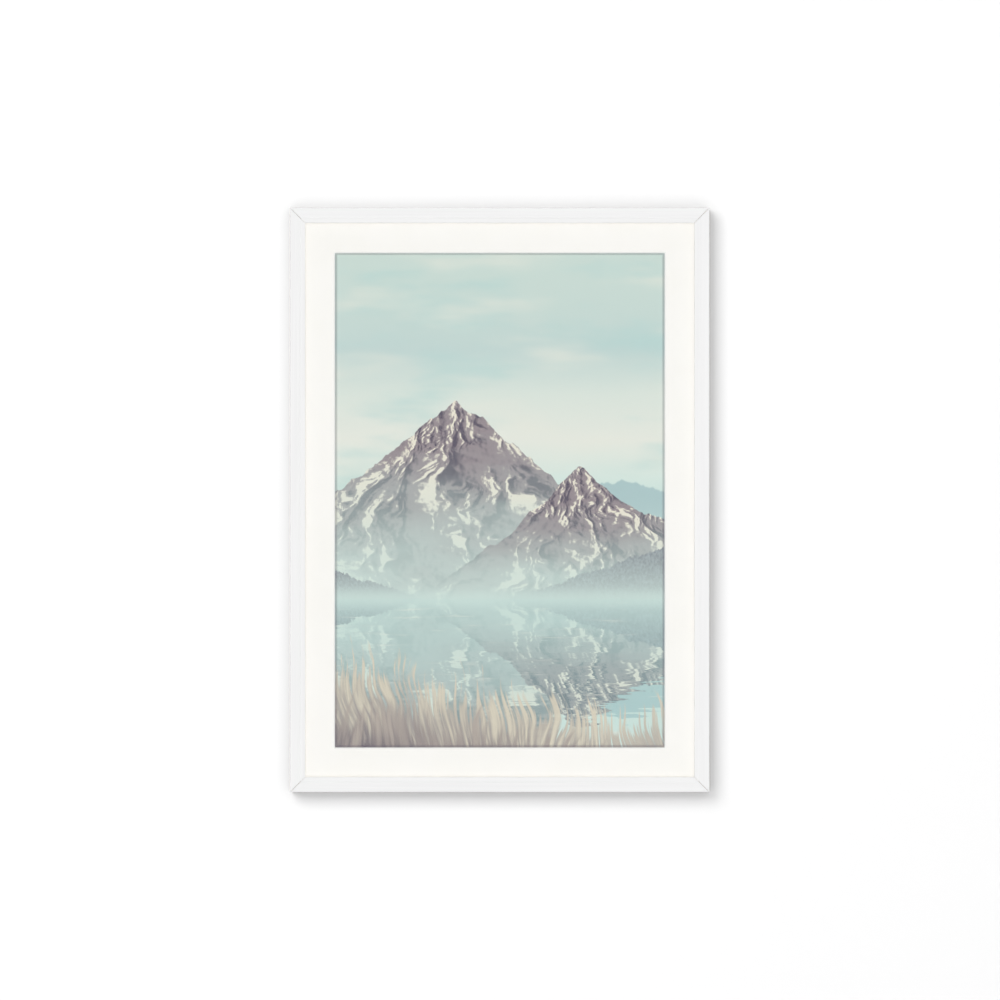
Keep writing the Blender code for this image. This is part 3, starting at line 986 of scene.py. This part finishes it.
def makeMountCard():
    material, tree = newMaterial("mountCard")
    pulp = noise(tree, objectPlace(tree), mountCard["pulpFineness"], 5.0, 0.7)
    colour = mixColours(tree, fade(tree, pulp, 0.35, 0.65), mountCard["pale"], mountCard["grey"])
    relief = bumps(tree, pulp, mountCard["pulpDepth"])
    finishSurface(tree, colour, 0.9, relief)
    return material


dress(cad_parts["mount_board"], makeMountCard())
print("backing done")


# Zinc-plated strip steel for the points and V-nails, brassed steel for the hanger

steel = {
    "clean": screenColour(202, 202, 199),
    "dulled": screenColour(170, 170, 168),
    "scratchFineness": 1600.0,
    "gloss": 0.24,
    "dullness": 0.42,
}

brass = {
    "clean": screenColour(232, 204, 140),
    "dulled": screenColour(204, 172, 110),
    "scratchFineness": 1400.0,
    "gloss": 0.34,
    "dullness": 0.50,
}


def makeMetal(name, metal):
    material, tree = newMaterial(name)
    place = objectPlace(tree)
    patches = noise(tree, place, 110.0, 3.0, 0.5)
    scratches = grain(tree, place, (metal["scratchFineness"], 300, 160), 4.0, 0.6)
    colour = mixColours(tree, fade(tree, patches, 0.40, 0.70, 0.0, 0.8), metal["clean"], metal["dulled"])
    tone = shareOf(tree, patches, scratches, 0.5)
    roughness = fade(tree, tone, 0.35, 0.65, metal["gloss"], metal["dullness"])
    relief = bumps(tree, scratches, 0.000004)
    finishSurface(tree, colour, roughness, relief, Metallic=1.0)
    return material


platedSteel = makeMetal("platedSteel", steel)
brassedSteel = makeMetal("brassedSteel", brass)


# Bendable points: strips driven into the rebate, pressed down onto the backing

point = {
    "rows": 8,
    "tipRadius": 0.0025,
    "ribHalfWidth": 0.0011,
    "ribRise": 0.00022,
    "ribStart": 0.8,  # in rows from the rebate wall
    "ribEnd": 6.2,
    "press": 0.00028,  # how far the free end is pushed down
    "edgeRound": 0.00008,
    "sides": (("bottom", 0, 4), ("left", 1, 5), ("top", 2, 4), ("right", 3, 5)),  # quarter turns, how many
}


def modelPoint(name):
    # modelled as the first point of the bottom rail, which reaches upwards from the rebate wall
    low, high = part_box("point_bottom_1")
    centreX = (low.x + high.x) / 2
    wall = cadLow.z + moulding["rearWidth"]
    strip = addBlock(name, low, high)
    startEdit(strip)
    pick(strip, "EDGE", lambda p, d: abs(d.y) > 0.0001 and near(p.z, high.z))
    roundOff(point["tipRadius"], 5)
    for cut in (-2, -1, 0, 1, 2):
        slicePiece((centreX + cut * point["ribHalfWidth"], 0, 0), (1, 0, 0))
    rowHeight = (high.z - wall) / point["rows"]
    for row in range(point["rows"]):
        slicePiece((0, 0, wall + rowHeight * row), (0, 0, 1))
    # a rib stiffens the strip along its middle
    ribLow, ribHigh = wall + rowHeight * point["ribStart"], wall + rowHeight * point["ribEnd"]
    for half, rise in ((1.1, 0.45), (0.1, 0.55)):
        halfWidth = point["ribHalfWidth"] * half
        pick(strip, "VERT", lambda p, n: abs(p.x - centreX) < halfWidth and ribLow < p.z < ribHigh)
        slide(0, point["ribRise"] * rise, 0)
    for row in range(1, point["rows"] + 1):
        pick(strip, "VERT", lambda p, n: p.z > wall + rowHeight * (row - 0.5))
        slide(0, -point["press"] / point["rows"], 0)
    endEdit()
    softenEdges(strip, point["edgeRound"], 2)
    dress(strip, platedSteel)
    return strip


def moveTo(thing, target, source):
    # moves a copy so that the middle of one box lands on another's
    step = (target[0] + target[1]) / 2 - (source[0] + source[1]) / 2
    startEdit(thing)
    bpy.ops.mesh.select_all(action="SELECT")
    slide(*step)
    endEdit()


def spreadPoints():
    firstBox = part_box("point_bottom_1")
    firstMiddle = (firstBox[0] + firstBox[1]) / 2
    first = modelPoint("bendPoint_bottom_1")
    for side, turns, count in point["sides"]:
        for spot in range(1, count + 1):
            node = f"point_{side}_{spot}"
            strip = first
            if node != "point_bottom_1":
                strip = copyOf(first, f"bendPoint_{side}_{spot}")
                turnPiece(strip, turns, firstMiddle)
                moveTo(strip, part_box(node), firstBox)
            finishPiece(strip, [node])


spreadPoints()
print("points done")


# Sawtooth hanger and its two nails

hanger = {
    "footLength": 0.0075,
    "ramp": 0.002,
    "rise": 0.0017,
    "thickness": 0.0008,
    "toothPitch": 0.0026,
    "toothDepth": 0.0016,
    "teeth": 9,
    "cornerRadius": 0.0016,
    "grooveDepth": 0.00028,
    "grooveHeights": (0.0036, 0.0043, 0.0050, 0.0057),
    "edgeRound": 0.00013,
}


def modelHanger():
    h = hanger
    low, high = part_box("sawtooth_hanger")
    plate = addBlock("toothedHanger", low, (low.x + h["footLength"], low.y + h["thickness"], high.z))
    startEdit(plate)
    span = high.x - low.x - 2 * (h["footLength"] + h["ramp"])
    endX = low.x + h["footLength"]
    for stepX, stepY in ((h["ramp"], h["rise"]), (span, 0), (h["ramp"], -h["rise"]), (h["footLength"], 0)):
        pick(plate, "FACE", lambda p, n: n.x > 0.9 and near(p.x, endX))
        pull(stepX, stepY, 0)
        endX += stepX
    for height in h["grooveHeights"]:
        slicePiece((0, 0, height), (0, 0, 1))
    teethHalf = h["teeth"] * h["toothPitch"] / 2
    for cut in range(2 * h["teeth"] + 1):
        slicePiece((-teethHalf + cut * h["toothPitch"] / 2, 0, 0), (1, 0, 0))
    pick(plate, "VERT", lambda p, n: near(p.z, low.z) and abs(p.x) < teethHalf
         and near(math.cos(2 * math.pi * (p.x + teethHalf) / h["toothPitch"]), -1, 0.01))
    slide(0, 0, h["toothDepth"])
    # a shallow groove pressed along the raised part
    grooveLow, grooveHigh = h["grooveHeights"][0] + 0.0002, h["grooveHeights"][-1] - 0.0002
    pick(plate, "VERT", lambda p, n: grooveLow < p.z < grooveHigh and abs(p.x) < teethHalf + 0.0001)
    slide(0, -h["grooveDepth"], 0)
    pick(plate, "EDGE", lambda p, d: abs(d.y) > 0.0001 and abs(abs(p.x) - high.x) < 0.00001
         and (near(p.z, low.z) or near(p.z, high.z)))
    roundOff(h["cornerRadius"], 5)
    endEdit()
    softenEdges(plate, h["edgeRound"], 2, 35)
    dress(plate, brassedSteel)
    return plate


nail = {
    "headRadius": 0.0019,
    "headHeight": 0.0007,
    "domeRadius": 0.00062,
    "shankRadius": 0.0007,
    "tipLength": 0.0015,
    "tipShare": 0.08,  # of the shank's width
}


def modelHangerNail(name, node):
    low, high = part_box(node)
    x, z = (low.x + high.x) / 2, (low.z + high.z) / 2
    under = high.y - nail["headHeight"]
    head = addRound(name, nail["headRadius"], nail["headHeight"], (x, (under + high.y) / 2, z), 32)
    startEdit(head)
    pick(head, "EDGE", lambda p, d: abs(d.y) < 0.00001 and near(p.y, high.y))
    roundOff(nail["domeRadius"], 5)
    pick(head, "FACE", lambda p, n: n.y < -0.9)
    bpy.ops.mesh.inset(thickness=nail["headRadius"] - nail["shankRadius"], depth=0)
    pull(0, low.y + nail["tipLength"] - under, 0)
    pull(0, -nail["tipLength"], 0)
    share = nail["tipShare"]
    bpy.ops.transform.resize(value=(share, 1, share), center_override=(x, low.y, z))
    endEdit()
    dress(head, brassedSteel)
    return head


finishPiece(modelHanger(), ["sawtooth_hanger"])
for side in ("left", "right"):
    node = "hanger_nail_" + side
    finishPiece(modelHangerNail(side + "HangerNail", node), [node])
print("hanger done")


for node in vNailNodes:
    bentNail = modelVNail(node.replace("v_nail", "bentNail"), node, 0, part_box(node)[1].y)
    softenEdges(bentNail, vNail["edgeRound"], 2)
    dress(bentNail, platedSteel)
    finishPiece(bentNail, [node])
print("V-nails done")


# Soft bumpers at the bottom corners

bumper = {
    "radius": 0.005,
    "rounding": 0.0014,
    "ringWidth": 0.0009,
    "dimple": 0.00012,
    "dustFineness": 700.0,
    "clear": screenColour(226, 226, 220),
    "dusty": screenColour(198, 195, 186),
}


def makeBumperRubber():
    material, tree = newMaterial("bumperRubber")
    place = objectPlace(tree)
    dust = noise(tree, place, bumper["dustFineness"], 4.0, 0.65)
    colour = mixColours(tree, fade(tree, dust, 0.48, 0.68), bumper["clear"], bumper["dusty"])
    roughness = fade(tree, dust, 0.35, 0.65, 0.34, 0.6)
    depth = {
        "Subsurface Weight": 0.35, "Subsurface Radius": (0.002, 0.002, 0.002), "Subsurface Scale": 1.0}
    finishSurface(tree, colour, roughness, bumps(tree, dust, 0.00001), **depth)
    return material


def modelBumper(name, node, rubber):
    low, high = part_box(node)
    centre = (low + high) / 2
    button = addRound(name, bumper["radius"], high.y - low.y, centre, 48)
    startEdit(button)
    pick(button, "EDGE", lambda p, d: abs(d.y) < 0.00001 and p.y > centre.y)
    roundOff(bumper["rounding"], 7)
    pick(button, "FACE", lambda p, n: n.y > 0.999)
    bpy.ops.mesh.inset(thickness=bumper["ringWidth"], depth=0)
    bpy.ops.mesh.inset(thickness=bumper["ringWidth"], depth=-bumper["dimple"])
    endEdit()
    dress(button, rubber)
    return button


rubber = makeBumperRubber()
for side in ("left", "right"):
    node = "bumper_" + side
    finishPiece(modelBumper(side + "Bumper", node, rubber), [node])
print("bumpers done")


# Stage: white wall, pale floor, soft light

studio = {
    "wallWhite": (0.212, 0.212, 0.212, 1),  # lit strongly by its own two lamps, it comes out white
    "wallSize": 2.0,
    "floorPale": (0.88, 0.88, 0.88, 1),
    "floorSize": 60.0,
    "floorHeight": -1.45,
    "skyStrength": 0.22,
    "backdrop": 0.88,  # how bright the sky looks, straight or in a reflection
    "floorSunPower": 2.33,  # lights the floor alone, up to the same brightness
    "floorSunAngle": 60,
    "pictureLamps": {  # place from the picture's centre, size, power
        "front": ((0, -8.0, 0), 0.5, 527),
        "rear": ((3.8, 2.9, 2.4), 4.0, 203),
        "lowRear": ((-3.5, 3.0, -0.8), 3.2, 131),
        "above": ((-1.4, 0.5, 3.6), 2.0, 45),
    },
    "wallLamps": {
        "wallKey": ((-5.4, -8.0, 5.4), 7.5, 3350),
        "wallSoft": ((0, -8.0, -1.0), 17.0, 3920),
    },
}


def makeWallPaint():
    # the wall is there only from the front, so that the back of the picture can be seen too
    material, tree = newMaterial("wallPaint")
    white = addNode(tree, "BsdfDiffuse", {"Color": studio["wallWhite"]})
    clear = addNode(tree, "BsdfTransparent", {})
    rear = addNode(tree, "NewGeometry", {}).outputs["Backfacing"]
    oneSided = addNode(tree, "MixShader", {0: rear, 1: white.outputs[0], 2: clear.outputs[0]})
    addNode(tree, "OutputMaterial", {"Surface": oneSided.outputs[0]})
    return material


def makeFloorPaint():
    material, tree = newMaterial("paleFloor")
    finishSurface(tree, studio["floorPale"], 0.8)
    return material


def addSheet(name, size, place, turn, material):
    bpy.ops.mesh.primitive_plane_add(size=size, location=place, rotation=turn)
    bpy.context.object.name = name
    dress(bpy.context.object, material)
    return bpy.context.object


def addLamp(name, place, size, power, aimed):
    # aimed lamps look at the picture's centre, the others square on to the wall
    place = middle + Vector(place)
    bpy.ops.object.light_add(type="AREA", location=place)
    lamp = bpy.context.object
    lamp.name = name
    lamp.data.size = size
    lamp.data.energy = power
    lamp.visible_camera = False
    aim = middle - place if aimed else Vector((0, 1, 0))
    lamp.rotation_euler = aim.to_track_quat("-Z", "Y").to_euler()
    return lamp


def linkLight(lamp, thing, state):
    # INCLUDE: the lamp lights this thing alone; EXCLUDE: it lights all but this thing
    group = bpy.data.collections.new(lamp.name + "Lights")
    group.objects.link(thing)
    group.collection_objects[0].light_linking.link_state = state
    lamp.light_linking.receiver_collection = group


wall = addSheet("wall", studio["wallSize"], (0, 0, middle.z), (math.radians(90), 0, 0), makeWallPaint())
for kind in ("diffuse", "glossy", "transmission", "shadow", "volume_scatter"):
    setattr(wall, "visible_" + kind, False)  # it takes the shadow but never shades the picture's back
floor = addSheet("floor", studio["floorSize"], (0, 0, studio["floorHeight"]), (0, 0, 0), makeFloorPaint())
for kind in ("diffuse", "shadow"):
    setattr(floor, "visible_" + kind, False)
for name, settings in studio["pictureLamps"].items():
    lamp = addLamp(name, *settings, aimed=True)
    linkLight(lamp, floor, "EXCLUDE")
    if name == "front":  # the glass shows no lamp, neither in its front face nor off its rear one
        lamp.visible_glossy = False
        lamp.visible_transmission = False
for name, settings in studio["wallLamps"].items():
    linkLight(addLamp(name, *settings, aimed=False), wall, "INCLUDE")
bpy.ops.object.light_add(type="SUN")
floorSun = bpy.context.object
floorSun.data.energy = studio["floorSunPower"]
floorSun.data.angle = math.radians(studio["floorSunAngle"])
linkLight(floorSun, floor, "INCLUDE")

world = bpy.data.worlds.new("softStudio")
bpy.context.scene.world = world
world.use_nodes = True
world.node_tree.nodes.clear()
white = (1, 1, 1, 1)
sky = addNode(world.node_tree, "Background", {"Color": white, "Strength": studio["skyStrength"]})
backdrop = addNode(world.node_tree, "Background", {"Color": white, "Strength": studio["backdrop"]})
rays = addNode(world.node_tree, "LightPath", {}).outputs
seen = rays["Is Camera Ray"]
for kind in ("Is Glossy Ray", "Is Transmission Ray"):
    seen = sums(world.node_tree, "MAXIMUM", seen, rays[kind])
both = addNode(world.node_tree, "MixShader", {0: seen, 1: sky.outputs[0], 2: backdrop.outputs[0]})
addNode(world.node_tree, "OutputWorld", {"Surface": both.outputs[0]})
bpy.context.scene.view_settings.view_transform = "Standard"

# Camera: square on to the picture, with a long lens
camera = {"lens": 200.0, "sensor": 36.0, "viewWidth": 1.2123, "sideStep": 0.0003, "farClip": 200.0}
cameraDistance = camera["viewWidth"] * camera["lens"] / camera["sensor"]
bpy.ops.object.camera_add(
    location=(camera["sideStep"], cadLow.y - cameraDistance, middle.z), rotation=(math.radians(90), 0, 0))
eye = bpy.context.object
eye.data.lens = camera["lens"]
eye.data.sensor_width = camera["sensor"]
eye.data.clip_end = camera["farClip"]
bpy.context.scene.camera = eye
print("stage done")
